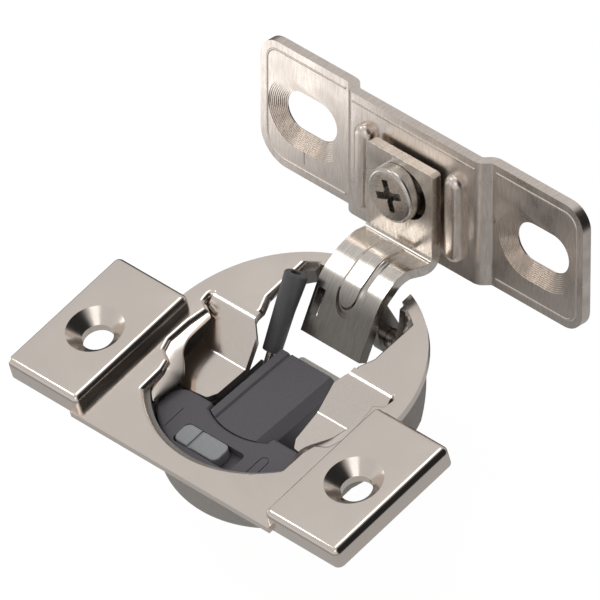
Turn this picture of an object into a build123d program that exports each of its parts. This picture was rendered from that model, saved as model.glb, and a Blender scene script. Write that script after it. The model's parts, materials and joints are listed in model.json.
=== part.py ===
from build123d import *
import math
import os

# Concealed cup hinge with a screw-on mounting plate, in millimetres.
# +X runs along the hinge axis, +Y from the cup towards the mounting plate,
# +Z out of the door. The origin is on the cup's axis, in the door's face.

# Cup, sunk in the door
cup_radius = 17.5
cup_wall = 1.0
cup_depth = 9.8
cup_flat_x = 13.6
cup_ring_height = 4.7
cup_slope_start_y = -2.0
cup_floor_rear_y = -2.8
cup_edge_radius = 0.8
cup_slope_deg = 25.0
cup_rear_gap_x = 7.9
cup_rear_gap_length = 4.0

# Flange and its raised screw pads, pressed from one sheet
sheet = 1.0
flange_radius = 18.7
flange_front_y = -20.1
mouth_radius = 17.1
mouth_lip_radius = 0.7
pad_x = 22.5
pad_y = -9.5
pad_width = 12.5
pad_length = 20.6
pad_height = 3.0
pad_edge_radius = 0.9
screw_hole_radius = 2.05
countersink_radius = 3.8
countersink_depth = 1.6

# Rear opening, where the arm comes out
rear_opening_x = 9.1
rear_opening_front_x = 8.2
rear_opening_radius = 17.2
rear_opening_neck_y = 7.6
rear_opening_front_y = 5.6
arm_notch_x = 5.8
arm_notch_length = 8.0
mouth_corner_radius = 0.35
mouth_rim_x = 12.0
mouth_side = [
    (15.6, 2.7),
    (14.2, 1.9),
    (14.7, -1.0),
    (14.8, -4.4),
    (14.2, -6.0),
    (12.6, -6.9),
    (12.1, -8.6),
]

# Two tongues folded down into the cup
tongue_fold_y = 4.05
tongue_outer_x = 15.8
tongue_low_y = -0.8
tongue_low_z = -2.9
tongue_front_y = -7.0
tongue_front_z = -3.4
tongue_gap = 0.35
tongue_bend_radius = 0.8
tongue_corner_radius = 0.5
tongue_inner_side = [(6.75, 2.5), (6.3, -0.8), (6.8, -5.4), (7.6, -6.6)]
tongue_outer_side = [(11.6, -7.0), (13.9, -5.9)]

# Ears bent down from the flange, with the pivot pin
pivot_from_rim = 3.6
pivot_z = -4.2
pivot_radius = 1.2
ear_radius = 1.9
ear_inner_x = 6.4
ear_neck = 1.6
pin_overhang = 0.25
running_gap = 0.05

# Arm, a folded strip that ends in an upright tongue against the plate
arm_sheet = 1.5
arm_half_width = 5.1
upright_half_width = 5.7
arm_start = (7.9, -3.0)
arm_knee = (13.3, 2.75)
arm_crest = (17.9, 4.35)
arm_knee_radius = 4.0
arm_crest_radius = 3.5
arm_fold_radius = 0.5
arm_flare_start_y = 17.0
arm_flare_end_y = 20.5
arm_flare_ease = 0.15
lean_deg = 17.0
upright_front_m = -20.8
arm_fold_h = 7.98
upright_top_h = 20.7
upright_corner_radius = 0.5
arm_hole_u = 1.0
arm_hole_radius = 3.55
arm_window_x = -4.0
arm_window_width = 1.2
arm_window_length = 2.4
arm_window_y = 10.9
rib_half_width = 1.4
rib_height = 0.5
rib_start_y = 11.3
rib_centre_x = 0.4
rib_root = 0.3
rib_past_flare = 1.0
lug_outer_x = 4.6
lug_width = 1.3
lug_radius = 2.0
lug_root = [(12.4, 0.6), (14.6, 1.9)]

# Mounting plate, measured in its own plane: u across, h up, m towards the front
plate_sheet = 1.4
plate_length = 55.7
plate_bottom_h = 6.35
plate_top_h = 24.55
plate_gap = 0.6
plate_recess = 1.3
plate_middle_half = 11.2
plate_joggle_run = 1.2
plate_joggle_radius = 0.4
plate_offset_u = 0.3
plate_corner_radius = 3.1
plate_lower_left_radius = 4.5
slot_spacing = 40.0
slot_h = 15.1
slot_half_width = 2.75
slot_extra = 1.6
slot_sink_radius = 4.9
slot_land = 0.2
slot_steps = 10
guide_inner_u = 6.4
guide_width = 2.8
guide_height = 1.3
guide_bottom_h = 8.4
guide_top_h = 21.2
guide_root = 0.2
guide_top_flat = 0.8

# Adjusting screw and the nut clinched into the plate
screw_h = 16.0
screw_head_radius = 3.75
screw_head_height = 1.85
screw_head_edge = 0.5
screw_shank_radius = 1.7
recess_arm_length = 4.4
recess_arm_width = 1.0
recess_depth = 1.2
recess_turn_deg = 20.0
recess_tip_radius = 0.2
recess_bore_radius = 1.1
nut_radius = 3.0
nut_height = 1.1
nut_chamfer = 0.2

# Closing mechanism under its cover
cover_half_width = 5.0
cover_top_half = 3.5
cover_chamfer_drop = 1.0
cover_rear_y = 4.4
cover_clearance = 0.1
cover_front_y = -9.6
cover_front_radius = 10.6
cover_front_wall = 1.8
cover_rear_z = -3.1
cover_front_z = -2.2
cover_wall = 0.9
cover_groove = 0.3
spring_x = 1.85
spring_radius = 1.25
spring_wire_radius = 0.3
spring_turns = 7
spring_front_y = -7.3
spring_rear_y = -0.6
spring_z = -5.9
slider_nose_y = 6.2
slider_height = 2.8
slider_nose_radius = 1.2
slider_front_gap = 0.15
slider_side_gap = 0.2
slider_nose_inset = 0.5

# Damper housing at the front of the cup, with its switch
housing_gap = 0.25
housing_top_z = -2.0
housing_rear_y = -7.4
housing_side_inset = 5.1
housing_corner_radius = 2.6
housing_inner_radius = 0.6
housing_edge_radius = 0.5
pocket_x0 = -5.6
pocket_x1 = 4.3
pocket_from_wall = 1.8
pocket_width = 3.2
pocket_depth = 1.3
pocket_corner_radius = 0.6
mark_width = 0.12
mark_depth = 0.12
mark_line_x = -7.8
mark_line_from_wall = 4.6
mark_line_length = 3.4
mark_loop_x = 6.9
mark_loop_from_wall = 4.3
mark_loop_length = 3.8
mark_loop_width = 1.4
switch_length = 7.4
switch_corner_radius = 0.9
switch_groove_x = 2.75
switch_height = 0.25
switch_side_gap = 0.12
switch_edge_radius = 0.2
switch_groove = 0.25

# Damper beside the arm
damper_x = -7.2
damper_radius = 1.45
damper_foot_radius = 1.25
damper_lobe_radius = 1.1
damper_lobe_offset = 0.75
damper_lobe_share = 0.6
damper_edge_radius = 0.3
damper_bore_radius = 0.65
damper_bore_depth = 2.2
damper_top = (11.2, 3.2)
damper_foot = (4.4, -4.8)
damper_rod_radius = 0.6
damper_rod_length = 6.0
damper_rod_reach = 2.9
cradle_width = 2.8
cradle_rear_y = 3.4
cradle_top_z = -6.4
cradle_bottom_z = -7.6
cradle_gap = 0.01
damper_rod_tail = 2.0

# The plate's own plane leans back from the cup's axis
sin_lean = math.sin(math.radians(lean_deg))
cos_lean = math.cos(math.radians(lean_deg))
lean_plane = Plane(origin=(0, 0, sheet), x_dir=(1, 0, 0), z_dir=(0, -cos_lean, sin_lean))
plate_front_m = upright_front_m - arm_sheet - plate_gap
cup_inner_radius = cup_radius - cup_wall
pivot_y = cup_radius - pivot_from_rim
floor_top_z = cup_wall - cup_depth
pocket_y0 = pocket_from_wall - cup_inner_radius
pocket_y1 = pocket_y0 + pocket_width


def point_on_lean(h, m):
    """Y and Z of a point at height h and depth m in the leaning plane."""
    return (h * sin_lean - m * cos_lean, sheet + h * cos_lean + m * sin_lean)


def bent_sheet(points, radii, thickness):
    """Closed profile of a folded strip that lies to the right of the given corner points.

    The radii are those on the inside of each bend, so both faces of a bend share a centre.
    """
    corners = [Vector(x, y) for x, y in points]
    runs = [(b - a).normalized() for a, b in zip(corners, corners[1:])]
    sides = [Vector(run.Y, -run.X) for run in runs]
    back = [corners[0] + sides[0] * thickness]
    near_radii = []
    far_radii = []
    for corner, before, after, radius in zip(corners[1:-1], sides, sides[1:], radii):
        middle = before + after
        back.append(corner + middle * (thickness / (1 + before.dot(after))))
        turns_left = before.cross(after).Z > 0
        near_radii.append(radius if turns_left else radius + thickness)
        far_radii.append(radius + thickness if turns_left else radius)
    back.append(corners[-1] + sides[-1] * thickness)
    front_line = FilletPolyline(*corners, radius=near_radii)
    back_line = FilletPolyline(*back, radius=far_radii)
    ends = [Line(corners[0], back[0]), Line(corners[-1], back[-1])]
    return make_face([*front_line.edges(), *back_line.edges(), *ends])


def both_sides(solid):
    """The solid with its mirror image across the middle of the hinge."""
    return solid + mirror(solid, about=Plane.YZ)


def mouth_outline():
    """The opening in the flange: round in front, with a cut round each tongue."""
    rim_y = -math.sqrt(mouth_radius**2 - mouth_rim_x**2)
    rear_y = math.sqrt(rear_opening_radius**2 - rear_opening_x**2)
    right = [
        (rear_opening_x, rear_y),
        (rear_opening_x, rear_opening_neck_y),
        (rear_opening_front_x, rear_opening_front_y),
        (rear_opening_front_x, tongue_fold_y),
        (tongue_outer_x, tongue_fold_y),
        *mouth_side,
        (mouth_rim_x, rim_y),
    ]
    left = [(-x, y) for x, y in reversed(right)]
    front = ThreePointArc(right[-1], (0, -mouth_radius), left[0])
    rear = ThreePointArc(left[-1], (0, rear_opening_radius), right[0])
    face = make_face([*Polyline(*right).edges(), front, *Polyline(*left).edges(), rear])
    corners = [v for v in face.vertices() if v.Y < rear_opening_neck_y + mouth_corner_radius]
    return fillet(corners, mouth_corner_radius)


def screw_pad():
    """One raised pad, hollow underneath, with a dimpled countersunk hole."""
    centre_y = pad_y + 0.3
    outside = Pos(pad_x, centre_y, pad_height / 2) * Box(pad_width, pad_length, pad_height)
    outside = fillet(outside.edges().filter_by(Axis.Z), pad_edge_radius)
    outside = fillet(outside.faces().sort_by(Axis.Z)[-1].edges(), pad_edge_radius)
    hollow_height = pad_height - sheet
    hollow = Pos(pad_x, centre_y, hollow_height / 2) * Box(
        pad_width - 2 * sheet, pad_length - 2 * sheet, hollow_height
    )
    pad = outside - hollow
    dimple_profile = Polyline(
        (screw_hole_radius, pad_height),
        (countersink_radius + sheet, pad_height),
        (countersink_radius + sheet, hollow_height - 0.2),
        (screw_hole_radius + sheet, pad_height - countersink_depth - sheet),
        (screw_hole_radius, pad_height - countersink_depth - sheet),
        close=True,
    )
    dimple = revolve(Plane.XZ * make_face(dimple_profile), Axis.Z)
    sink_profile = Polyline(
        (0, pad_height + 1),
        (countersink_radius + 1, pad_height + 1),
        (countersink_radius, pad_height),
        (screw_hole_radius, pad_height - countersink_depth),
        (screw_hole_radius, -1),
        (0, -1),
        close=True,
    )
    sink = revolve(Plane.XZ * make_face(sink_profile), Axis.Z)
    return pad + Pos(pad_x, pad_y, 0) * dimple - Pos(pad_x, pad_y, 0) * sink


def tongue():
    """The right-hand tongue: a strip folded down from the flange, cut to its plan."""
    profile = bent_sheet(
        [
            (tongue_front_y - 1, tongue_front_z),
            (tongue_low_y, tongue_low_z),
            (tongue_fold_y, sheet),
            (tongue_fold_y + 1, sheet),
        ],
        [tongue_bend_radius, tongue_bend_radius],
        sheet,
    )
    strip = extrude(Plane.YZ * profile, cup_radius)
    outer_side = [(x - tongue_gap, y) for x, y in reversed(mouth_side[2:4])]
    plan = Polyline(
        (rear_opening_front_x, tongue_fold_y + 1),
        (rear_opening_front_x, tongue_fold_y),
        *tongue_inner_side,
        *tongue_outer_side,
        *outer_side,
        (mouth_side[1][0], mouth_side[1][1] - 2 * tongue_gap),
        (tongue_outer_x - tongue_gap, mouth_side[0][1] + tongue_gap),
        (tongue_outer_x - tongue_gap, tongue_fold_y + 1),
        close=True,
    )
    face = make_face(plan)
    corners = [v for v in face.vertices() if v.Y < mouth_side[1][1]]
    return strip & Pos(0, 0, -cup_depth) * extrude(fillet(corners, tongue_corner_radius), 2 * cup_depth)


def pivot_ear():
    """One ear with the pivot's seat, bent down from the flange beside the arm."""
    rim_inner_y = math.sqrt(rear_opening_radius**2 - ear_inner_x**2)
    rim_outer_y = math.sqrt(flange_radius**2 - (ear_inner_x + sheet) ** 2)
    web = Polyline(
        (pivot_y - ear_radius, pivot_z),
        (rim_inner_y - ear_neck, -sheet),
        (rim_inner_y - ear_neck / 2, sheet),
        (rim_outer_y - ear_neck / 4, sheet),
        (rim_outer_y - ear_neck / 4, 0),
        (pivot_y + ear_radius, pivot_z),
        close=True,
    )
    profile = make_face(web) + Pos(pivot_y, pivot_z) * Circle(ear_radius)
    profile -= Pos(pivot_y, pivot_z) * Circle(pivot_radius)
    return Pos(ear_inner_x, 0, 0) * extrude(Plane.YZ * profile, sheet)


def cup_flange():
    """Flange, screw pads, tongues and pivot ears: one pressed and plated sheet."""
    front_width = 2 * pad_x - pad_width + 2
    plan = Circle(flange_radius) + Pos(0, flange_front_y / 2) * Rectangle(
        front_width, -flange_front_y
    )
    under_pads = [
        Pos(side * pad_x, pad_y + 0.3) * Rectangle(pad_width - 2 * sheet, pad_length - 2 * sheet)
        for side in (-1, 1)
    ]
    plate = extrude(plan - under_pads, sheet)
    plate += both_sides(screw_pad())
    mouth = mouth_outline()
    plate -= extrude(mouth, pad_height)
    lip = [e for e in plate.edges().filter_by(GeomType.CIRCLE) if on_front_lip(e)]
    plate = fillet(lip, mouth_lip_radius)
    notch = Pos(0, rear_opening_radius, 0) * Box(2 * arm_notch_x, arm_notch_length, 4 * pad_height)
    plate -= notch
    plate += both_sides(tongue())
    plate += both_sides(pivot_ear())
    return plate


def on_front_lip(edge):
    """True for the top edge of the flange's round opening in front."""
    middle = edge @ 0.5
    return abs(edge.radius - mouth_radius) < 0.01 and abs(middle.Z - sheet) < 0.01 and middle.Y < 0


def cup_form(radius, flat_x, top_z, ledge_z, floor_z):
    """A round ring on a lower drum with flat sides, which is the cup's form outside and inside."""
    ring = Pos(0, 0, ledge_z) * extrude(Circle(radius), top_z - ledge_z)
    drum_plan = Circle(radius) & Rectangle(2 * flat_x, 4 * radius)
    return ring + Pos(0, 0, floor_z) * extrude(drum_plan, ledge_z - floor_z)


def cup_shell():
    """Cast cup, with flats on its sides and an open, rising rear."""
    ledge_z = -cup_ring_height
    outside = cup_form(cup_radius, cup_flat_x, 0, ledge_z - cup_wall, -cup_depth)
    outside = fillet(outside.faces().sort_by(Axis.Z)[0].edges(), cup_edge_radius)
    inside_flat_x = cup_flat_x - cup_wall
    inside = cup_form(cup_inner_radius, inside_flat_x, sheet, ledge_z, floor_top_z)
    reach = 4 * cup_radius
    slope = Pos(0, cup_slope_start_y, -cup_depth) * (
        Rot(cup_slope_deg, 0, 0) * Box(reach, reach, reach, align=(Align.CENTER, Align.MIN, Align.MAX))
    )
    rear = Pos(0, cup_radius, 0) * Box(2 * cup_rear_gap_x, 2 * cup_rear_gap_length, 4 * cup_depth)
    bay_plan = Circle(cup_inner_radius) & Rectangle(2 * inside_flat_x, 4 * cup_radius)
    bay_plan -= Pos(0, cup_floor_rear_y) * Rectangle(
        4 * cup_radius, 4 * cup_radius, align=(Align.CENTER, Align.MAX)
    )
    bay = Pos(0, 0, -2 * cup_depth) * extrude(bay_plan, 2 * cup_depth)
    return outside - inside - slope - bay - rear


def pivot_pin():
    """Plain pin that the arm turns on, pressed into both ears."""
    length = 2 * (ear_inner_x + sheet + pin_overhang)
    pin = Rot(0, 90, 0) * Cylinder(pivot_radius, length)
    pin = chamfer(pin.edges().filter_by(GeomType.CIRCLE), 0.15)
    return Pos(0, pivot_y, pivot_z) * pin


def arm_front_points(lift):
    """Corners of the arm's front, moved outwards by the given lift."""
    fold = point_on_lean(arm_fold_h + lift, upright_front_m + lift)
    return [
        (arm_start[0] - 0.7 * lift, arm_start[1] + 0.7 * lift),
        (arm_knee[0] - 0.5 * lift, arm_knee[1] + 0.9 * lift),
        (arm_crest[0], arm_crest[1] + lift),
        fold,
    ]


def arm():
    """The arm: a folded strip with a stiffening rib, pivot lugs and an upright tongue."""
    front = arm_front_points(0)
    top = point_on_lean(upright_top_h, upright_front_m)
    radii = [arm_knee_radius, arm_crest_radius, arm_fold_radius]
    profile = bent_sheet([*front, top], radii, arm_sheet)
    body = extrude(Plane.YZ * profile, upright_half_width, both=True)
    trim_x = upright_half_width - arm_half_width
    side_trim = Polyline(
        (arm_half_width, 0),
        (arm_half_width, arm_flare_start_y),
        (arm_half_width + arm_flare_ease * trim_x, (arm_flare_start_y + arm_flare_end_y) / 2),
        (upright_half_width, arm_flare_end_y),
        (2 * upright_half_width, arm_flare_end_y),
        (2 * upright_half_width, 0),
        close=True,
    )
    trim = Pos(0, 0, -10) * extrude(make_face(side_trim), 14.6)
    body -= both_sides(trim)
    corners = [
        e
        for e in body.edges().filter_by(GeomType.LINE)
        if e.center().Z > 12 and abs(abs(e.center().X) - upright_half_width) < 0.01
        and abs(e.length - arm_sheet) < 0.01
    ]
    body = fillet(corners, upright_corner_radius)
    hole = lean_plane * Pos(arm_hole_u, screw_h, upright_front_m) * Cylinder(
        arm_hole_radius, 4 * arm_sheet
    )
    body -= hole
    window = Pos(arm_window_x, arm_window_y, 0) * Box(arm_window_width, arm_window_length, 12)
    body -= window
    rib_profile = bent_sheet(arm_front_points(rib_height), radii[:2], rib_height + rib_root)
    rib = Pos(rib_centre_x, 0, 0) * extrude(Plane.YZ * rib_profile, rib_half_width, both=True)
    rib_end_y = arm_flare_end_y + rib_past_flare
    rib_plan = Pos(rib_centre_x, rib_start_y + rib_half_width) * Circle(rib_half_width) + Pos(
        rib_centre_x, (rib_start_y + rib_half_width + rib_end_y) / 2
    ) * Rectangle(2 * rib_half_width, rib_end_y - rib_start_y - rib_half_width)
    body += rib & Pos(0, 0, -10) * extrude(rib_plan, 25)
    body += both_sides(arm_lug())
    bore = Pos(0, pivot_y, pivot_z) * (
        Rot(0, 90, 0) * Cylinder(pivot_radius + running_gap, 4 * arm_half_width)
    )
    return body - bore


def arm_lug():
    """One inner lug that joins the strip's back to the pivot pin."""
    eye = Pos(pivot_y, pivot_z) * Circle(lug_radius)
    reach = Polyline(
        (pivot_y - lug_radius, pivot_z),
        *lug_root,
        (pivot_y + lug_radius, pivot_z),
        close=True,
    )
    profile = make_face(reach) + eye
    solid = extrude(Plane.YZ * profile, lug_width)
    return Pos(lug_outer_x - lug_width, 0, 0) * solid


def plate_outline():
    """The plate's outline in its own plane, with its lower left corner rounded more."""
    height = plate_top_h - plate_bottom_h
    face = Pos(0, (plate_top_h + plate_bottom_h) / 2) * Rectangle(plate_length, height)
    lower_left = face.vertices().sort_by(Axis.X)[:2].sort_by(Axis.Y)[0]
    face = fillet(lower_left, plate_lower_left_radius)
    square = [v for v in face.vertices() if v.X > 0 or v.Y > slot_h + slot_half_width]
    return fillet(square, plate_corner_radius)


def mounting_plate():
    """Joggled plate with two stepped slots and two guides for the arm's tongue."""
    half = plate_length / 2
    profile = bent_sheet(
        [
            (-half, plate_front_m - plate_recess),
            (-plate_middle_half - plate_joggle_run, plate_front_m - plate_recess),
            (-plate_middle_half, plate_front_m),
            (plate_middle_half, plate_front_m),
            (plate_middle_half + plate_joggle_run, plate_front_m - plate_recess),
            (half, plate_front_m - plate_recess),
        ],
        [plate_joggle_radius] * 4,
        plate_sheet,
    )
    height = plate_top_h - plate_bottom_h
    across = Plane(origin=(0, plate_top_h, 0), x_dir=(1, 0, 0), z_dir=(0, -1, 0))
    plate = extrude(across * profile, height)
    depth = plate_recess + 2 * plate_sheet
    plate &= Pos(0, 0, plate_front_m) * extrude(plate_outline(), depth, both=True)
    for side in (-1, 1):
        plate -= stepped_slot(side * slot_spacing / 2, plate_front_m - plate_recess)
    plate = Pos(plate_offset_u, 0, 0) * plate
    for side in (-1, 1):
        plate += guide_rib(side)
    thread = Pos(0, screw_h, plate_front_m) * Cylinder(screw_shank_radius + running_gap, 4 * plate_sheet)
    return lean_plane * (plate - thread)


def stepped_slot(centre_u, front_m):
    """Solid to take away for one slot: a stair of ever smaller slots, down to the land."""
    tool = None
    depth = plate_sheet - slot_land
    for i in range(slot_steps + 1):
        share = i / slot_steps
        radius = slot_sink_radius + (slot_half_width - slot_sink_radius) * share
        bottom = front_m - depth * min(1.0, (i + 1) / slot_steps)
        if i == slot_steps:
            bottom = front_m - 2 * plate_sheet
        layer = Pos(centre_u, slot_h, bottom) * extrude(
            SlotCenterToCenter(2 * slot_extra, 2 * radius), front_m + 1 - bottom
        )
        tool = layer if tool is None else tool + layer
    return tool


def guide_rib(side):
    """One upright rib beside the arm's tongue, with domed ends."""
    centre_u = side * (guide_inner_u + guide_width / 2)
    length = guide_top_h - guide_bottom_h
    plan = Rot(0, 0, 90) * SlotOverall(length, guide_width)
    rib = extrude(plan, guide_height + guide_root)
    rib = fillet(rib.faces().sort_by(Axis.Z)[-1].edges(), (guide_width - guide_top_flat) / 2)
    return Pos(centre_u, (guide_top_h + guide_bottom_h) / 2, plate_front_m - guide_root) * rib


def adjusting_screw():
    """Pan-head screw with a cross recess, which clamps the arm to the plate."""
    seat_m = upright_front_m + running_gap
    head = Cylinder(screw_head_radius, screw_head_height, align=(Align.CENTER, Align.CENTER, Align.MIN))
    head = fillet(head.edges().filter_by(GeomType.CIRCLE).sort_by(Axis.Z)[-1], screw_head_edge)
    for angle in (0, 90):
        arm_box = Box(recess_arm_length, recess_arm_width, 2 * recess_depth)
        head -= Pos(0, 0, screw_head_height) * (Rot(0, 0, angle + recess_turn_deg) * arm_box)
    bore_cone = Cone(recess_tip_radius, recess_bore_radius, 2 * recess_depth)
    head -= Pos(0, 0, screw_head_height - recess_depth / 2) * bore_cone
    back_m = plate_front_m - plate_sheet - nut_height
    shank_length = seat_m - back_m
    shank = Pos(0, 0, -shank_length) * Cylinder(
        screw_shank_radius, shank_length, align=(Align.CENTER, Align.CENTER, Align.MIN)
    )
    return lean_plane * Pos(0, screw_h, seat_m) * (head + shank)


def clinch_nut():
    """Round nut pressed on the plate's back, in the hollow behind its middle."""
    back_m = plate_front_m - plate_sheet
    nut = Cylinder(nut_radius, nut_height, align=(Align.CENTER, Align.CENTER, Align.MAX))
    nut = chamfer(nut.edges().filter_by(GeomType.CIRCLE).sort_by(Axis.Z)[0], nut_chamfer)
    nut -= Cylinder(screw_shank_radius + running_gap, 4 * nut_height)
    return lean_plane * Pos(0, screw_h, back_m) * nut


def cover_section(shrink):
    """Cross-section of the mechanism's cover, made smaller by the given wall."""
    base_z = floor_top_z - (0 if shrink == 0 else 1)
    top_z = -shrink
    wide = cover_half_width - shrink
    top_half = cover_top_half - 0.5 * shrink
    shoulder_z = top_z - cover_chamfer_drop + 0.5 * shrink
    points = [(-wide, base_z), (-wide, top_z)]
    if shrink == 0:
        points += [(-top_half - cover_groove, top_z), (-top_half, top_z - cover_groove)]
        points += [(-top_half + cover_groove, top_z)]
    points += [(top_half, top_z), (wide, shoulder_z), (wide, base_z)]
    return make_face(Polyline(*points, close=True))


def cover():
    """Moulded cover over the closing springs: an open-bottomed ridge that rises to the front."""
    length = cover_rear_y - cover_front_y
    rise_deg = math.degrees(math.atan2(cover_front_z - cover_rear_z, length))
    plane = Plane(origin=(0, cover_rear_y, cover_rear_z), x_dir=(1, 0, 0), z_dir=(0, -1, 0))
    plane = plane.rotated((-rise_deg, 0, 0))
    solid = extrude(plane * cover_section(0), length)
    inner = extrude(plane.offset(-1) * cover_section(cover_wall), length + 1 - cover_front_wall)
    room = Pos(0, cover_front_y + cover_front_radius, floor_top_z) * Cylinder(
        cover_front_radius, cup_depth, align=(Align.CENTER, Align.CENTER, Align.MIN)
    )
    return (solid - inner) & room


def closing_spring(side):
    """One coiled closing spring, lying along Y under the cover."""
    length = spring_rear_y - spring_front_y
    path = Helix(pitch=length / spring_turns, height=length, radius=spring_radius)
    section = Plane(origin=path @ 0, z_dir=path % 0) * Circle(spring_wire_radius)
    coil = sweep(section, path=path, is_frenet=True)
    return Pos(side * spring_x, spring_front_y, spring_z) * (Rot(-90, 0, 0) * coil)


def cam_slider():
    """Slider that the springs push against the arm's inner end."""
    front_y = spring_rear_y + spring_wire_radius + slider_front_gap
    body_length = slider_nose_y - front_y - slider_nose_radius
    width = 2 * (cover_half_width - cover_wall - slider_side_gap)
    body = Pos(0, front_y + body_length / 2, spring_z) * Box(width, body_length, slider_height)
    nose = Pos(0, slider_nose_y - slider_nose_radius, spring_z) * (
        Rot(0, 90, 0) * Cylinder(slider_nose_radius, width - 2 * slider_nose_inset)
    )
    return body + nose


def damper_housing():
    """Moulded front block that holds the damper's switch and fills the cup's front."""
    radius = cup_inner_radius - housing_gap
    half_width = cup_inner_radius - housing_side_inset
    rim_y = -math.sqrt(radius**2 - half_width**2)
    right = [(half_width, housing_rear_y), (half_width, rim_y)]
    left = [(-x, y) for x, y in reversed(right)]
    front = ThreePointArc(right[-1], (0, -radius), left[0])
    plan = make_face([Line(*right), front, Line(*left), Line(left[-1], right[0])])
    plan = fillet(plan.vertices().group_by(Axis.Y)[-1], housing_corner_radius)
    cover_width = 2 * (cover_half_width + cover_clearance)
    around_cover = Pos(0, cover_front_y + cover_front_radius) * Circle(cover_front_radius + cover_clearance)
    plan -= Rectangle(cover_width, 4 * cup_radius) & around_cover
    inner_corners = plan.vertices().group_by(Axis.Y)[-1].sort_by(lambda v: abs(v.X))[:2]
    plan = fillet(inner_corners, housing_inner_radius)
    block = Pos(0, 0, floor_top_z) * extrude(plan, housing_top_z - floor_top_z)
    block = fillet(block.faces().sort_by(Axis.Z)[-1].edges(), housing_edge_radius)
    pocket_length = pocket_x1 - pocket_x0
    pocket = Pos((pocket_x0 + pocket_x1) / 2, (pocket_y0 + pocket_y1) / 2, housing_top_z) * Box(
        pocket_length, pocket_y1 - pocket_y0, 2 * pocket_depth
    )
    pocket = fillet(pocket.edges().filter_by(Axis.Z), pocket_corner_radius)
    line_place = Pos(mark_line_x, mark_line_from_wall - cup_inner_radius)
    marks = line_place * Rectangle(mark_width, mark_line_length)
    loop = SlotOverall(mark_loop_length, mark_loop_width) - SlotOverall(
        mark_loop_length - 2 * mark_width, mark_loop_width - 2 * mark_width
    )
    marks += Pos(mark_loop_x, mark_loop_from_wall - cup_inner_radius) * Rot(0, 0, 90) * loop
    block -= Pos(0, 0, housing_top_z - mark_depth) * extrude(marks, 2 * mark_depth)
    cradle_length = cradle_rear_y - housing_rear_y + 1
    cradle = Pos(damper_x, cradle_rear_y, cradle_bottom_z) * Box(
        cradle_width,
        cradle_length,
        cradle_top_z - cradle_bottom_z,
        align=(Align.CENTER, Align.MAX, Align.MIN),
    )
    return block - pocket + (cradle - damper_rod(cradle_gap))


def switch_slider():
    """Switch that turns the damping on and off, with a thumb groove across it."""
    width = pocket_y1 - pocket_y0 - 2 * switch_side_gap
    floor_z = housing_top_z - pocket_depth
    height = switch_height + pocket_depth - running_gap
    centre_x = pocket_x0 + switch_side_gap + switch_length / 2
    centre_z = floor_z + running_gap + height / 2
    body = Pos(centre_x, (pocket_y0 + pocket_y1) / 2, centre_z) * Box(switch_length, width, height)
    body = fillet(body.edges().filter_by(Axis.Z), switch_corner_radius)
    body = fillet(body.faces().sort_by(Axis.Z)[-1].edges(), switch_edge_radius)
    groove_x = pocket_x0 + switch_side_gap + switch_groove_x
    top_z = floor_z + running_gap + height
    groove = Pos(groove_x, 0, top_z) * Box(2 * switch_groove, 4 * cup_radius, 2 * switch_groove)
    return body - groove


def damper_plane():
    """Plane at the damper's top, with its normal along the damper's axis, upwards."""
    along = Vector(0, damper_top[0] - damper_foot[0], damper_top[1] - damper_foot[1])
    return Plane(origin=(damper_x, *damper_top), x_dir=(1, 0, 0), z_dir=along.normalized())


def damper_length():
    """Length of the damper's cylinder."""
    return math.dist(damper_top, damper_foot)


def damper_cylinder():
    """Dark moulded cylinder beside the arm, with a blind hole in its top."""
    length = damper_length()
    hung = (Align.CENTER, Align.CENTER, Align.MAX)
    body = Cone(damper_foot_radius, damper_radius, length, align=hung)
    lobe = Cone(damper_bore_radius, damper_lobe_radius, damper_lobe_share * length, align=hung)
    body += Pos(damper_lobe_offset, 0, 0) * lobe
    body = fillet(body.faces().sort_by(Axis.Z)[-1].edges(), damper_edge_radius)
    body -= Cylinder(damper_bore_radius, 2 * damper_bore_depth)
    rod_hole = Cylinder(
        damper_rod_radius + running_gap, damper_rod_length, align=(Align.CENTER, Align.CENTER, Align.MIN)
    )
    body -= Pos(0, 0, -length - 1) * rod_hole
    return damper_plane() * body


def damper_rod(extra):
    """The damper's rod, its radius made larger by the given extra."""
    length = damper_length()
    rod = Pos(0, 0, -length - damper_rod_reach) * Cylinder(
        damper_rod_radius + extra,
        damper_rod_reach + damper_rod_length - damper_rod_tail,
        align=(Align.CENTER, Align.CENTER, Align.MIN),
    )
    return damper_plane() * rod


def parts():
    """Every node's name with its solid."""
    return {
        "cup_flange": cup_flange(),
        "cup_shell": cup_shell(),
        "pivot_pin": pivot_pin(),
        "arm": arm(),
        "mounting_plate": mounting_plate(),
        "adjusting_screw": adjusting_screw(),
        "clinch_nut": clinch_nut(),
        "cover": cover(),
        "closing_spring_left": closing_spring(-1),
        "closing_spring_right": closing_spring(1),
        "cam_slider": cam_slider(),
        "damper_housing": damper_housing(),
        "switch_slider": switch_slider(),
        "damper_cylinder": damper_cylinder(),
        "damper_piston_rod": damper_rod(0),
    }


os.makedirs("parts", exist_ok=True)
for name, shape in parts().items():
    export_step(shape, f"parts/{name}.step")
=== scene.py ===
"""Looks of a concealed cup hinge, in metres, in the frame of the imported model.

+X runs along the hinge axis, +Y from the cup to the mounting plate, +Z out of the door.
"""

import json
import math

import bmesh
import bpy
import numpy as np
from mathutils import Matrix, Vector


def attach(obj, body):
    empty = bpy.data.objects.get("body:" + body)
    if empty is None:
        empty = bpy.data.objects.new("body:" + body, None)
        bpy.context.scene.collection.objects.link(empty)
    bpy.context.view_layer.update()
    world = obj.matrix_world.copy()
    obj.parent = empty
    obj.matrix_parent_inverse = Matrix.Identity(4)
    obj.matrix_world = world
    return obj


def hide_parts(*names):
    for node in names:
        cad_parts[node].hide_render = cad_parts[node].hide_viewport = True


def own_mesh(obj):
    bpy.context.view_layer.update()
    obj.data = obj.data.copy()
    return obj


MM = 0.001

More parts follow.
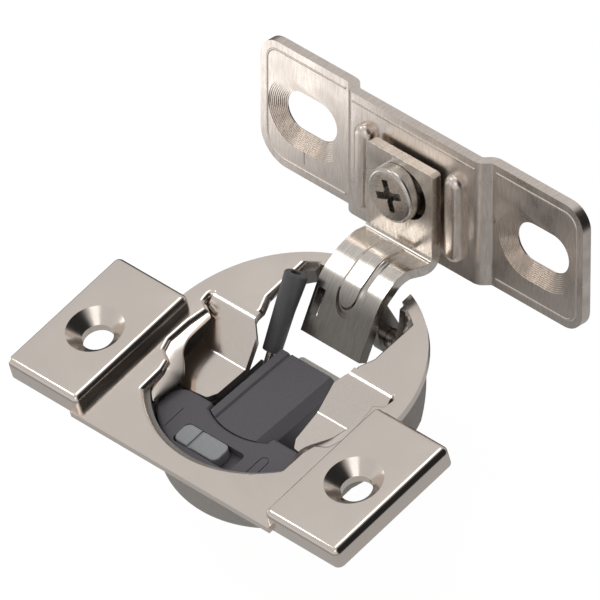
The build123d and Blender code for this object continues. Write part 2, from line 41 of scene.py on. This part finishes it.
# Camera, fitted to the photograph's frame, with its distances in metres
VIEW_RIGHT = Vector((0.7071, 0.6762, -0.2068))
VIEW_TOWARDS = Vector((0.5774, -0.3833, 0.7209))
VIEW_CENTRE = Vector((-1.503, 6.778, 5.809)) * MM
VIEW_DISTANCE = 2.045
CLIP_NEAR = 0.1
CLIP_FAR = 50.0
LENS = 1000.0
SENSOR = 36.0

# Floor, in metres, with its own grey and its glow
FLOOR_Z = -24.0 * MM
FLOOR_REACH = 3.0
FLOOR_GREY = 0.1
FLOOR_GLOW = 0.95

# Skin of a node: how near points are merged, and which edges are flat or stay smooth
MERGE_REACH = 0.001 * MM
SLIVER_REACH = 0.0005 * MM
FLAT_ANGLE = math.radians(0.05)
SMOOTH_ANGLE = math.radians(32)
ROUNDING_SEGMENTS = 2

# The plate and the arm's upright lean back from the cup's axis
LEAN = math.radians(17.0)
LEAN_UP = np.array([0.0, math.sin(LEAN), math.cos(LEAN)])
LEAN_OUT = np.array([0.0, -math.cos(LEAN), math.sin(LEAN)])
LEAN_ORIGIN = np.array([0.0, 0.0, 1.0])

# Points on the arc of a rounded corner
ARC_STEPS = 12

# Mounting plate in its own plane, in mm
PLATE_OFFSET = 0.3
PLATE_HALF = 27.85
PLATE_LOW = 6.35
PLATE_TOP = 24.55
PLATE_FACE = -22.9
PLATE_RECESS = 1.3
PLATE_CORNER = 3.1
PLATE_LOWER_LEFT = 4.5
JOGGLE_INNER = 11.2
JOGGLE_OUTER = 12.4

# Border lines of the plate and the mark under its left slot, in the same plane
BORDER_INSET = 1.0
BORDER_END_GAP = 0.6
TICK_U = -20.0
TICK_TOP = 10.15
TICK_LOW = 8.4
TICK_WIDTH = 0.5

# Section of a coined line: steps to its left in mm, and heights over the face
LINE_STEPS = np.array([-0.02, 0.0, 0.08, 0.16, 0.27, 0.38, 0.4])
LINE_HEIGHTS = np.array([-0.03, 0.0, 0.06, 0.08, 0.045, 0.0, -0.03])

# Adjusting screw in the same plane, in mm, and the painted shade in its recess
SCREW_H = 16.0
SCREW_FACE_M = -18.9
RECESS_DEPTHS = (-0.1, -0.5)
RECESS_REACH = 2.5
RECESS_RIM = 0.2
RECESS_PAINTED_SHADE = 0.55

# Arm's upper side, as places along y and z in mm, with the bends' radii
ARM_PLACES = [(7.9, -3.0), (13.3, 2.75), (17.9, 4.35), (22.22, 2.55)]
ARM_RADII = [4.0, 3.5]

# Where painted shade darkens the arm's colour, in mm along a line from the pivot up the arm, and
# the share of the colour it keeps
ARM_PAINTED_SHADE_LINE = (0.0, 0.6, 0.8)
ARM_PAINTED_SHADE_REACH = (12.5, 7.5)
ARM_PAINTED_SHADE = 0.3

# Rib of the arm, in mm from above
RIB_CENTRE = 0.4
RIB_HALF = 1.4
RIB_FOOT_Y = 11.3
RIB_HEAD_Y = 20.6

# Section of the rim at the rib's foot: steps away from the rib in mm, and heights over the arm
RIM_STEPS = np.array([-0.06, 0.04, 0.16, 0.3, 0.48, 0.62, 0.66])
RIM_HEIGHTS = np.array([0.28, 0.28, 0.24, 0.14, 0.04, 0.0, -0.04])

# Webs of the flange beside the mouth: the right one's free edge in mm, from front to rear
WEB_EDGE = [
    (10.9, -11.9, -1.0),
    (10.6, -9.7, -1.0),
    (10.2, -7.7, -1.0),
    (10.5, -6.8, -0.9),
    (11.6, -5.6, -0.6),
    (12.9, -4.4, -0.2),
    (13.7, -2.6, 0.1),
    (13.8, -0.8, 0.2),
    (13.8, 1.6, 0.4),
]
WEB_EDGE_SMOOTHINGS = 3

# The webs' line at the mouth in mm and degrees: it is drawn in and lowered up to the dip's end
WEB_ANGLES = (-48.0, 7.0)
WEB_DIP_END = -30.0
WEB_DIP_RADIUS = 16.3
WEB_DIP_HEIGHT = -0.9
WEB_RADIUS = 17.0
WEB_HEIGHT = 0.62

WEB_SHEET = 0.7
WEB_ROUNDING = 0.12
WEB_ROWS = 40
WEB_COLUMNS = 16

# Part of a noise's range that is used
NOISE_LOW = 0.3
NOISE_HIGH = 0.7

# Sockets of a Mix node that blends colours
MIX_FACTOR = 0
MIX_FIRST = 6
MIX_SECOND = 7
MIX_RESULT = 2

# Height of a direction and the studio's brightness there
STUDIO_HEIGHTS = (
    (-1.0, 0.45),
    (-0.62, 0.45),
    (-0.5, 0.3),
    (-0.3, 0.3),
    (0.0, 0.7),
    (0.2, 0.72),
    (0.42, 0.62),
    (1.0, 0.66),
)

# The studio's cards: aim, cosines where the card starts and is whole, brightness
STUDIO_CARDS = (
    ((0.85, 0.45, 0.30), 0.50, 0.80, 0.02),
    ((-0.20, 0.38, 0.90), 0.965, 0.985, 2.5),
    ((0.41, -0.61, 0.68), 0.95, 0.985, 1.4),
    ((-0.577, 0.72, -0.38), 0.80, 0.93, 0.05),
)

# The studio's soft lights: place, aim and size in mm, power in watts
STUDIO_LIGHTS = {
    "overhead_strip": ((-290, -77, 400), (0, 0, 0), 90, 0.14),
    "left_card": ((-62, -17, -4), (-20, 25, 12), 26, 0.003),
}

# Each node's finish and the width in mm of its edges' rounding
NODE_FINISHES = {
    "cup_flange": ("bright_nickel", 0.10),
    "cup_shell": ("cast_metal", 0.15),
    "pivot_pin": ("turned_steel", 0.0),
    "arm": ("satin_steel", 0.10),
    "mounting_plate": ("satin_nickel", 0.0),
    "adjusting_screw": ("driven_steel", 0.08),
    "clinch_nut": ("turned_steel", 0.0),
    "cover": ("dark_plastic", 0.12),
    "closing_spring_left": ("spring_wire", 0.0),
    "closing_spring_right": ("spring_wire", 0.0),
    "cam_slider": ("pale_plastic", 0.12),
    "damper_housing": ("dark_plastic", 0.12),
    "switch_slider": ("grey_plastic", 0.08),
    "damper_cylinder": ("black_plastic", 0.0),
    "damper_piston_rod": ("turned_steel", 0.0),
}


def srgb(red, green, blue):
    """A colour given as 0 to 255 values on screen, as linear light with alpha 1."""
    values = np.array([red, green, blue]) / 255.0
    linear = np.where(values <= 0.04045, values / 12.92, ((values + 0.055) / 1.055) ** 2.4)
    return (*linear.tolist(), 1.0)


def plain_grey(level):
    """A grey of a linear level, with alpha 1."""
    return (level, level, level, 1.0)


def on_lean(u, h, m):
    """Place of a point of the leaning plane: u across, h up, m out of the plane, all in mm."""
    u, h, m = np.broadcast_arrays(u, h, m)
    place = LEAN_ORIGIN + h[..., None] * LEAN_UP + m[..., None] * LEAN_OUT
    place[..., 0] += u
    return place


def rounded_route(corners, radii):
    """An open line through corners, each inner one turned by an arc that touches both sides.

    The arc's centre lies on the corner's bisector, radius over the sine of half the angle away.
    A point of the arc is the sum of the spokes to its two ends, each times the sine of the sweep
    on the point's other side, over the sine of the whole sweep.
    """
    corners = np.array(corners, dtype=float)
    pieces = [corners[:1]]
    for before, corner, after, radius in zip(corners, corners[1:], corners[2:], radii):
        back = (before - corner) / np.linalg.norm(before - corner)
        ahead = (after - corner) / np.linalg.norm(after - corner)
        half = math.acos(float(np.clip(back @ ahead, -1, 1))) / 2
        bisector = (back + ahead) / np.linalg.norm(back + ahead)
        centre = corner + bisector * radius / math.sin(half)
        first = corner + back * radius / math.tan(half) - centre
        last = corner + ahead * radius / math.tan(half) - centre
        share = np.linspace(0, 1, ARC_STEPS)[:, None]
        sweep = math.pi - 2 * half
        arc = (np.sin((1 - share) * sweep) * first + np.sin(share * sweep) * last) / math.sin(sweep)
        pieces.append(centre + arc)
    pieces.append(corners[-1:])
    return np.concatenate(pieces)


def route_sides(route):
    """The unit direction to the left of a flat route: its own direction turned by a quarter."""
    along = np.gradient(route, axis=0)
    along /= np.linalg.norm(along, axis=1)[:, None]
    return np.stack([-along[:, 1], along[:, 0]], axis=1)


def grid_piece(name, places, body, material):
    """A mesh from a grid of places in mm, rows by columns, that rides on a body."""
    rows, columns = places.shape[:2]
    index = np.arange(rows * columns).reshape(rows, columns)
    faces = np.stack([index[:-1, :-1], index[1:, :-1], index[1:, 1:], index[:-1, 1:]], axis=-1)
    mesh = bpy.data.meshes.new(name)
    mesh.from_pydata((places.reshape(-1, 3) * MM).tolist(), [], faces.reshape(-1, 4).tolist())
    mesh.materials.append(material)
    mesh.shade_smooth()
    piece = bpy.data.objects.new(name, mesh)
    bpy.context.scene.collection.objects.link(piece)
    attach(piece, body)
    return piece


def round_edges(piece, width):
    """Rounds a piece's sharp edges by a width in mm."""
    rounding = piece.modifiers.new("edges", "BEVEL")
    rounding.width = width * MM
    rounding.segments = ROUNDING_SEGMENTS
    rounding.limit_method = "ANGLE"
    rounding.angle_limit = SMOOTH_ANGLE
    return rounding


class Nodes:
    """A tree of nodes, written as short calls."""

    def __init__(self, tree):
        self.tree = tree

    def node(self, kind, **values):
        """A new node, with its properties and input values set by name."""
        made = self.tree.nodes.new(kind)
        for key, value in values.items():
            if key in made.inputs:
                made.inputs[key].default_value = value
            else:
                setattr(made, key, value)
        return made

    def link(self, start, end):
        """Joins an output to an input."""
        self.tree.links.new(start, end)

    def vector(self, operation, value, other=None):
        """A vector operation on a value and, where it needs one, on a plain vector."""
        worked = self.node("ShaderNodeVectorMath", operation=operation)
        self.link(value, worked.inputs[0])
        if other is not None:
            worked.inputs[1].default_value = other
        return worked.outputs["Value" if operation in ("DOT_PRODUCT", "LENGTH") else "Vector"]

    def ranged(self, value, source, target=(0.0, 1.0), kind="LINEAR"):
        """A value taken from the source range to the target range, and kept inside it."""
        ramp = self.node("ShaderNodeMapRange", interpolation_type=kind)
        ends = zip(("From Min", "From Max", "To Min", "To Max"), (*source, *target))
        for name, end in ends:
            ramp.inputs[name].default_value = end
        self.link(value, ramp.inputs["Value"])
        return ramp.outputs["Result"]

    def colour_ramp(self, value, stops):
        """A colour by a value, through stops of a position and a colour."""
        ramp = self.node("ShaderNodeValToRGB")
        elements = ramp.color_ramp.elements
        # A new stop starts anywhere, and gets its position below
        while len(elements) < len(stops):
            elements.new(0.5)
        for element, (position, colour) in zip(elements, stops):
            element.position = position
            element.color = colour
        self.link(value, ramp.inputs["Fac"])
        return ramp.outputs["Color"]

    def greyed(self, factor, colour, grey, blend_type="MIX"):
        """A colour, blended with a plain grey by the factor."""
        blend = self.node("ShaderNodeMix", data_type="RGBA", blend_type=blend_type)
        self.link(factor, blend.inputs[MIX_FACTOR])
        self.link(colour, blend.inputs[MIX_FIRST])
        blend.inputs[MIX_SECOND].default_value = plain_grey(grey)
        return blend.outputs[MIX_RESULT]


class Finish(Nodes):
    """A material's surface, with patterns on Object coordinates."""

    def __init__(self, name, **values):
        self.material = bpy.data.materials.new(name)
        self.material.use_nodes = True
        super().__init__(self.material.node_tree)
        self.surface = self.tree.nodes["Principled BSDF"]
        self.place = self.node("ShaderNodeTexCoord").outputs["Object"]
        for key, value in values.items():
            self.surface.inputs[key.replace("_", " ")].default_value = value

    def noise(self, scale, detail=3.0, stretch=(1, 1, 1), rough=0.5):
        """Noise in waves per metre, its places scaled by a number for each axis."""
        mapping = self.node("ShaderNodeMapping", Scale=stretch)
        self.link(self.place, mapping.inputs["Vector"])
        noise = self.node("ShaderNodeTexNoise", Scale=scale, Detail=detail, Roughness=rough)
        self.link(mapping.outputs["Vector"], noise.inputs["Vector"])
        return noise.outputs["Fac"]

    def colours(self, noise, first, last):
        """Base colour between two colours, by a noise."""
        colour = self.colour_ramp(noise, ((NOISE_LOW, first), (NOISE_HIGH, last)))
        self.link(colour, self.surface.inputs["Base Color"])

    def rough(self, noise, first, last):
        """Roughness between two numbers, by a noise."""
        spread = self.ranged(noise, (NOISE_LOW, NOISE_HIGH), (first, last))
        self.link(spread, self.surface.inputs["Roughness"])

    def bump(self, noise, height, strength):
        """Bump of the given height in mm."""
        bump = self.node("ShaderNodeBump", Strength=strength, Distance=height * MM)
        self.link(noise, bump.inputs["Height"])
        self.link(bump.outputs["Normal"], self.surface.inputs["Normal"])

    def between(self, value, start, end):
        """From 0 to 1 as a value in metres goes smoothly from start to end, both in mm."""
        return self.ranged(value, (start * MM, end * MM), kind="SMOOTHSTEP")

    def dim(self, factor, share):
        """Multiplies the base colour by a share where the factor is 1."""
        socket = self.surface.inputs["Base Color"]
        before = socket.links[0].from_socket
        self.link(self.greyed(factor, before, share, "MULTIPLY"), socket)


def bright_nickel():
    """Bright nickel on pressed sheet, with a very fine grain."""
    made = Finish("bright_nickel", Metallic=1.0)
    grain = made.noise(9000, detail=2.0)
    made.colours(grain, srgb(222, 211, 202), srgb(236, 226, 217))
    made.rough(made.noise(160, detail=2.0), 0.15, 0.21)
    made.bump(grain, height=0.0012, strength=0.5)
    return made.material


def satin_nickel():
    """Satin nickel on the plate, brushed upright by a fine grain."""
    made = Finish("satin_nickel", Metallic=1.0)
    grain = made.noise(5200, stretch=(1.0, 0.12, 0.12))
    made.colours(grain, srgb(214, 203, 194), srgb(236, 226, 217))
    made.rough(made.noise(240), 0.24, 0.36)
    made.bump(grain, height=0.003, strength=0.6)
    return made.material


def satin_steel():
    """Satin steel of the arm, with streaks along its run and painted shade making it darker towards
    the pivot.

    The distance along the painted shade's line is the dot product of the place with its direction.
    """
    made = Finish("satin_steel", Metallic=1.0)
    grain = made.noise(6000, stretch=(1.0, 0.1, 0.1))
    made.colours(grain, srgb(206, 199, 191), srgb(230, 223, 215))
    along = made.vector("DOT_PRODUCT", made.place, ARM_PAINTED_SHADE_LINE)
    # Painted shade: the arm's base colour darkens towards the pivot
    made.dim(made.between(along, *ARM_PAINTED_SHADE_REACH), ARM_PAINTED_SHADE)
    made.rough(made.noise(300), 0.2, 0.28)
    made.bump(grain, height=0.003, strength=0.6)
    return made.material


def grained_metal(name, scale, first, last, rough):
    """Plain metal: its colour and its roughness go between two values by one fine grain."""
    made = Finish(name, Metallic=1.0)
    grain = made.noise(scale, detail=2.0)
    made.colours(grain, first, last)
    made.rough(grain, *rough)
    return made


def turned_steel():
    """Zinc-plated turned steel of the pin, the nut and the damper's rod."""
    first, last = srgb(196, 191, 184), srgb(220, 214, 206)
    return grained_metal("turned_steel", 7000, first, last, rough=(0.2, 0.3)).material


def driven_steel():
    """The screw's plated steel, with painted shade making it darker inside its recess.

    The recess is deeper than the head's face, and nearer to its axis than the rim:
    the distance from the axis is the length of the cross product with its direction.
    """
    first, last = srgb(190, 184, 177), srgb(214, 208, 200)
    made = grained_metal("driven_steel", 7000, first, last, rough=(0.2, 0.28))
    axis = tuple(LEAN_OUT.tolist())
    centre = on_lean(0.0, SCREW_H, SCREW_FACE_M) * MM
    offset = made.vector("SUBTRACT", made.place, tuple(centre.tolist()))
    deep = made.between(made.vector("DOT_PRODUCT", offset, axis), *RECESS_DEPTHS)
    reach = made.vector("LENGTH", made.vector("CROSS_PRODUCT", offset, axis))
    inside = made.between(reach, RECESS_REACH + RECESS_RIM, RECESS_REACH)
    both = made.node("ShaderNodeMath", operation="MULTIPLY")
    made.link(deep, both.inputs[0])
    made.link(inside, both.inputs[1])
    # Painted shade: the base colour darkens inside the recess
    made.dim(both.outputs["Value"], RECESS_PAINTED_SHADE)
    return made.material


def spring_wire():
    """Oiled spring wire."""
    first, last = srgb(120, 118, 116), srgb(150, 147, 143)
    return grained_metal("spring_wire", 8000, first, last, rough=(0.25, 0.4)).material


def cast_metal():
    """Matt cast metal of the cup, with a fine skin."""
    made = Finish("cast_metal", Metallic=0.35, Roughness=0.55)
    skin = made.noise(3500, detail=4.0, rough=0.6)
    made.colours(skin, srgb(134, 129, 124), srgb(150, 146, 141))
    made.bump(skin, height=0.01, strength=0.5)
    return made.material


def moulded_plastic(name, first, last, rough):
    """Moulded plastic between two greys, with a spark-eroded skin."""
    made = Finish(name, Roughness=rough, Specular_IOR_Level=0.35)
    skin = made.noise(6000)
    made.colours(skin, first, last)
    made.bump(skin, height=0.006, strength=0.5)
    return made.material


def all_materials():
    """Each finish by its name."""
    dark = (srgb(97, 94, 99), srgb(107, 104, 109))
    black = (srgb(88, 87, 88), srgb(97, 96, 97))
    grey = (srgb(161, 163, 165), srgb(172, 174, 176))
    pale = (srgb(206, 203, 194), srgb(216, 213, 205))
    return {
        "bright_nickel": bright_nickel(),
        "satin_nickel": satin_nickel(),
        "satin_steel": satin_steel(),
        "turned_steel": turned_steel(),
        "driven_steel": driven_steel(),
        "cast_metal": cast_metal(),
        "dark_plastic": moulded_plastic("dark_plastic", *dark, rough=0.5),
        "black_plastic": moulded_plastic("black_plastic", *black, rough=0.5),
        "grey_plastic": moulded_plastic("grey_plastic", *grey, rough=0.4),
        "pale_plastic": moulded_plastic("pale_plastic", *pale, rough=0.45),
        "spring_wire": spring_wire(),
    }


def merged_mesh(source, name):
    """A copy of a node's loose triangles, with doubles merged and flat faces joined."""
    mesh = source.copy()
    mesh.name = name
    form = bmesh.new()
    form.from_mesh(mesh)
    bmesh.ops.remove_doubles(form, verts=form.verts, dist=MERGE_REACH)
    bmesh.ops.dissolve_degenerate(form, edges=form.edges, dist=SLIVER_REACH)
    bmesh.ops.dissolve_limit(
        form, angle_limit=FLAT_ANGLE, verts=form.verts, edges=form.edges, delimit={"NORMAL"}
    )
    form.to_mesh(mesh)
    form.free()
    if "custom_normal" in mesh.attributes:
        mesh.attributes.remove(mesh.attributes["custom_normal"])
    return mesh


def dressed(node, source, body, material, edge):
    """A joined and smooth-shaded copy of a node, its sharp edges rounded by a width in mm."""
    mesh = merged_mesh(source.data, node + "_skin")
    mesh.materials.clear()
    mesh.materials.append(material)
    mesh.shade_smooth()
    mesh.set_sharp_from_angle(angle=SMOOTH_ANGLE)
    piece = bpy.data.objects.new(node + "_skin", mesh)
    bpy.context.scene.collection.objects.link(piece)
    if edge > 0:
        round_edges(piece, edge).harden_normals = True
    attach(piece, body)
    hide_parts(node)
    return piece


def dress_nodes(frame, materials):
    """Every node of the hinge in its finish."""
    body_of_node = {
        node: body
        for body, nodes in frame["record"]["behaviour"]["bodies"].items()
        for node in nodes
    }
    pieces = {}
    for node, (finish, edge) in NODE_FINISHES.items():
        source = frame["nodes"][node]
        pieces[node] = dressed(node, source, body_of_node[node], materials[finish], edge)
    return pieces


def squeeze_springs(pieces):
    """Gives each closing spring's piece its own copy of its mesh.
    """
    for name in ("closing_spring_left", "closing_spring_right"):
        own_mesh(pieces[name])


def coined_line(name, route, face_m, material, width=1.0):
    """A fine coined line on the plate: its section carried along a route of the leaning plane.

    Place = route + left side * step * width, raised by the section's height over the face.
    """
    flat = route[:, None] + route_sides(route)[:, None] * (LINE_STEPS * width)[None, :, None]
    heights = np.broadcast_to(face_m + LINE_HEIGHTS, flat.shape[:2])
    return grid_piece(name, on_lean(flat[..., 0], flat[..., 1], heights), "plate", material)


def coin_plate(material):
    """The plate's border lines, one on each face, and the mark under its left slot."""
    low = PLATE_LOW + BORDER_INSET
    top = PLATE_TOP - BORDER_INSET
    left = PLATE_OFFSET - PLATE_HALF + BORDER_INSET
    right = PLATE_OFFSET + PLATE_HALF - BORDER_INSET
    end_reach = JOGGLE_OUTER + BORDER_END_GAP
    middle_reach = JOGGLE_INNER - BORDER_END_GAP
    left_end = PLATE_OFFSET - end_reach
    right_end = PLATE_OFFSET + end_reach
    radius = PLATE_CORNER - BORDER_INSET
    left_route = rounded_route(
        [(left_end, top), (left, top), (left, low), (left_end, low)],
        [radius, PLATE_LOWER_LEFT - BORDER_INSET],
    )
    right_route = rounded_route(
        [(right_end, low), (right, low), (right, top), (right_end, top)],
        [radius, radius],
    )
    middle = np.array([(PLATE_OFFSET + middle_reach, top), (PLATE_OFFSET - middle_reach, top)])
    tick = np.array([(TICK_U, TICK_TOP), (TICK_U, TICK_LOW)])
    end_face = PLATE_FACE - PLATE_RECESS
    coined_line("left_border", left_route, end_face, material)
    coined_line("right_border", right_route, end_face, material)
    coined_line("middle_border", middle, PLATE_FACE, material)
    coined_line("slot_tick", tick, end_face, material, width=TICK_WIDTH)


def rib_outline():
    """The rib's outline from above: down its right side, a half circle round its foot, and up."""
    right = RIB_CENTRE + RIB_HALF
    left = RIB_CENTRE - RIB_HALF
    foot_centre = RIB_FOOT_Y + RIB_HALF
    straight = np.linspace(RIB_HEAD_Y, foot_centre, 3 * ARC_STEPS)[:-1]
    turn = np.linspace(0, math.pi, 2 * ARC_STEPS)
    down = np.stack([np.full_like(straight, right), straight], axis=1)
    foot = [RIB_CENTRE + RIB_HALF * np.cos(turn), foot_centre - RIB_HALF * np.sin(turn)]
    up = np.stack([np.full_like(straight, left), straight[::-1]], axis=1)
    return np.concatenate([down, np.stack(foot, axis=1), up])


def rib_rim(material):
    """The soft rim round the foot of the arm's rib.

    Place = a line round the rib's outline, moved out by each step, on the arm's side as read
    from its bent outline, raised by the section's height.
    """
    route = rib_outline()
    plan = route[:, None] + route_sides(route)[:, None] * RIM_STEPS[None, :, None]
    side = rounded_route(ARM_PLACES, ARM_RADII)
    heights = np.interp(plan[..., 1], side[:, 0], side[:, 1]) + RIM_HEIGHTS
    grid_piece("rib_rim", np.concatenate([plan, heights[..., None]], axis=-1), "arm", material)


def web_rim():
    """The right web's line at the mouth, a circle that is drawn in and lowered at its front.

    Radius and height = the dip's own, and more by the angle's share of the way to the dip's end.
    """
    angles = np.linspace(*WEB_ANGLES, WEB_ROWS)
    rise = np.clip((angles - WEB_ANGLES[0]) / (WEB_DIP_END - WEB_ANGLES[0]), 0, 1)
    radius = WEB_DIP_RADIUS + (WEB_RADIUS - WEB_DIP_RADIUS) * rise
    height = WEB_DIP_HEIGHT + (WEB_HEIGHT - WEB_DIP_HEIGHT) * rise
    turn = np.radians(angles)
    return np.stack([radius * np.cos(turn), radius * np.sin(turn), height], axis=1)


def web_edge():
    """The right web's free edge, smoothed.

    Points at even distances along the line through its corners, then a few times each one
    becomes half itself and a quarter of each neighbour.
    """
    corners = np.array(WEB_EDGE)
    lengths = np.linalg.norm(np.diff(corners, axis=0), axis=1)
    run = np.concatenate([[0], np.cumsum(lengths)])
    at = np.linspace(0, run[-1], WEB_ROWS)
    edge = np.stack([np.interp(at, run, corners[:, axis]) for axis in range(3)], axis=1)
    for _ in range(WEB_EDGE_SMOOTHINGS):
        edge[1:-1] = edge[:-2] / 4 + edge[1:-1] / 2 + edge[2:] / 4
    return edge


def mouth_web(name, side, material):
    """The pressed web between the mouth's round and the tongue, which falls towards its edge.

    Place = from the rim at share 0 to the free edge at share 1, in even shares; its height
    goes from the rim's to the edge's by the square of the share. Side -1 mirrors it in x.
    """
    rim = web_rim()
    share = np.linspace(0, 1, WEB_COLUMNS)[None, :, None]
    share = np.concatenate([share, share, share**2], axis=-1)
    places = rim[:, None] + share * (web_edge() - rim)[:, None]
    places = places * np.array([side, 1, 1])
    if side < 0:
        places = places[::-1]
    piece = grid_piece(name, places, "root", material)
    sheet = piece.modifiers.new("sheet", "SOLIDIFY")
    sheet.thickness = WEB_SHEET * MM
    sheet.offset = -1.0
    round_edges(piece, WEB_ROUNDING)


def place_camera():
    """The camera at the photograph's angle, with a long lens."""
    towards = VIEW_TOWARDS.normalized()
    up = towards.cross(VIEW_RIGHT).normalized()
    right = up.cross(towards)
    data = bpy.data.cameras.new("camera")
    data.lens = LENS
    data.sensor_width = SENSOR
    data.clip_start = CLIP_NEAR
    data.clip_end = CLIP_FAR
    camera = bpy.data.objects.new("camera", data)
    turn = Matrix((right, up, towards)).transposed().to_4x4()
    camera.matrix_world = Matrix.Translation(VIEW_CENTRE + towards * VIEW_DISTANCE) @ turn
    bpy.context.scene.collection.objects.link(camera)
    bpy.context.scene.camera = camera


def lay_floor():
    """A plain pale floor under the cup, bright enough to read as white."""
    reach = FLOOR_REACH
    corners = [(-reach, -reach), (reach, -reach), (reach, reach), (-reach, reach)]
    mesh = bpy.data.meshes.new("floor")
    mesh.from_pydata([(x, y, FLOOR_Z) for x, y in corners], [], [(0, 1, 2, 3)])
    floor = bpy.data.objects.new("floor", mesh)
    bpy.context.scene.collection.objects.link(floor)
    made = Finish(
        "pale_floor",
        Base_Color=plain_grey(FLOOR_GREY),
        Roughness=0.9,
        Specular_IOR_Level=0.0,
        Emission_Color=plain_grey(1.0),
        Emission_Strength=FLOOR_GLOW,
    )
    mesh.materials.append(made.material)
    floor.visible_glossy = False


def light_world():
    """A studio's surroundings: grey by height, dark below the horizon, then its cards.

    A card's factor goes from 0 to 1 by the cosine of the angle between a direction and its aim.
    """
    world = bpy.data.worlds.new("studio")
    world.use_nodes = True
    bpy.context.scene.world = world
    bpy.context.scene.view_settings.view_transform = "Standard"
    made = Nodes(world.node_tree)
    background = made.tree.nodes["Background"]
    place = made.node("ShaderNodeTexCoord").outputs["Generated"]
    split = made.node("ShaderNodeSeparateXYZ")
    made.link(place, split.inputs["Vector"])
    height = made.ranged(split.outputs["Z"], (-1.0, 1.0))
    stops = [((level + 1.0) / 2.0, plain_grey(grey)) for level, grey in STUDIO_HEIGHTS]
    colour = made.colour_ramp(height, stops)
    for aim, start, whole, grey in STUDIO_CARDS:
        cosine = made.vector("DOT_PRODUCT", place, Vector(aim).normalized())
        factor = made.ranged(cosine, (start, whole), kind="SMOOTHSTEP")
        colour = made.greyed(factor, colour, grey)
    made.link(colour, background.inputs["Color"])
    background.inputs["Strength"].default_value = 1.0


def soft_light(name, place, aim, size, power):
    """A square area light at a place, pointed at another, both in mm."""
    data = bpy.data.lights.new(name, "AREA")
    data.shape = "SQUARE"
    data.size = size * MM
    data.energy = power
    light = bpy.data.objects.new(name, data)
    start = Vector(place) * MM
    light.location = start
    light.rotation_euler = (start - Vector(aim) * MM).to_track_quat("Z", "Y").to_euler()
    light.visible_camera = False
    bpy.context.scene.collection.objects.link(light)


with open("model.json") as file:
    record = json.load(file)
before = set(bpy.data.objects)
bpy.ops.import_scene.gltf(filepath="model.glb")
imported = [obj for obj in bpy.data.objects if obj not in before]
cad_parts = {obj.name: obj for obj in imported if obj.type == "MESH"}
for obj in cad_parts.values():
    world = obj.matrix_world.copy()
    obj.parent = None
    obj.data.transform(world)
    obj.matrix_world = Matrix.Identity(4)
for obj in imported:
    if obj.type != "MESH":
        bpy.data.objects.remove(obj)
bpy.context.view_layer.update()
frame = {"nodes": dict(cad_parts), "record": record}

finishes = all_materials()
squeeze_springs(dress_nodes(frame, finishes))
coin_plate(finishes["satin_nickel"])
rib_rim(finishes["satin_steel"])
mouth_web("web_left", -1, finishes["bright_nickel"])
mouth_web("web_right", 1, finishes["bright_nickel"])
place_camera()
lay_floor()
light_world()
for light_name, light_values in STUDIO_LIGHTS.items():
    soft_light(light_name, *light_values)
